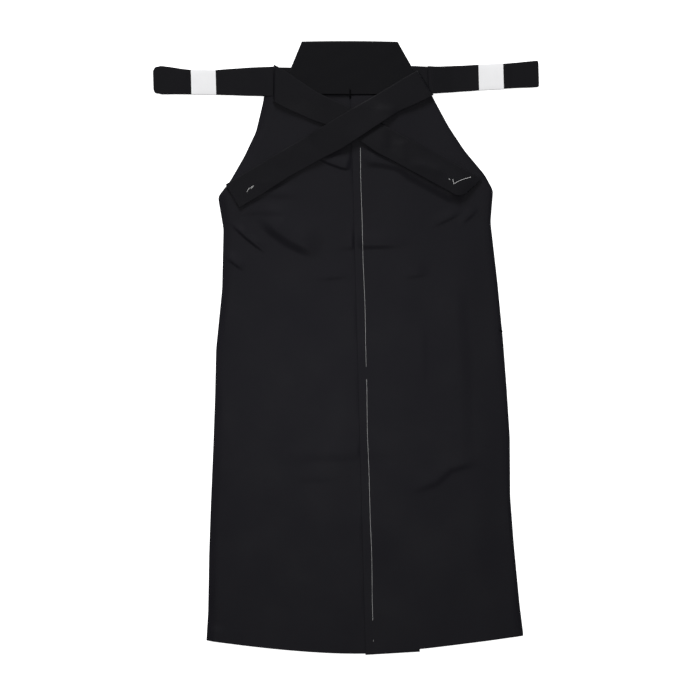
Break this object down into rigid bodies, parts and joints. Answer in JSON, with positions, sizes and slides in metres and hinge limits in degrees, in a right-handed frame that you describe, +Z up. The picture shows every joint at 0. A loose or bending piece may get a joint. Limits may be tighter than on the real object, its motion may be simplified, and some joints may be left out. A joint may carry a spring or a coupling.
{
  "type": "hakama trousers",
  "caption": "Pleated wide-leg hakama trousers laid flat with the back up: stiff back board, folded back ties in paper bands, front ties crossed over the back.",
  "frame": {"origin": "centre of the laid garment's bounding box, on the surface it lies on", "axes": "+X to the wearer's right, +Y from the hem to the back board, +Z up out of the garment's back"},
  "size_m": [0.659, 1.0444, 0.0221],
  "materials": {
    "black_cloth": "matt plain-woven black polyester, very slightly bluish",
    "band_paper": null,
    "white_thread": "white cotton thread, twisted from two strands"
  },
  "bodies": {
    "root": {"koshiita_board": "black_cloth", "front_waistband": "black_cloth", "front_panel_left": "black_cloth", "front_panel_right": "black_cloth", "back_panel_left": "black_cloth", "back_panel_right": "black_cloth", "crotch_gusset_left": "black_cloth", "crotch_gusset_right": "black_cloth", "back_tie_left": "black_cloth", "back_tie_right": "black_cloth", "front_tie_left": "black_cloth", "front_tie_right": "black_cloth", "tie_band_left": "band_paper", "tie_band_right": "band_paper"}
  },
  "joints": []
}
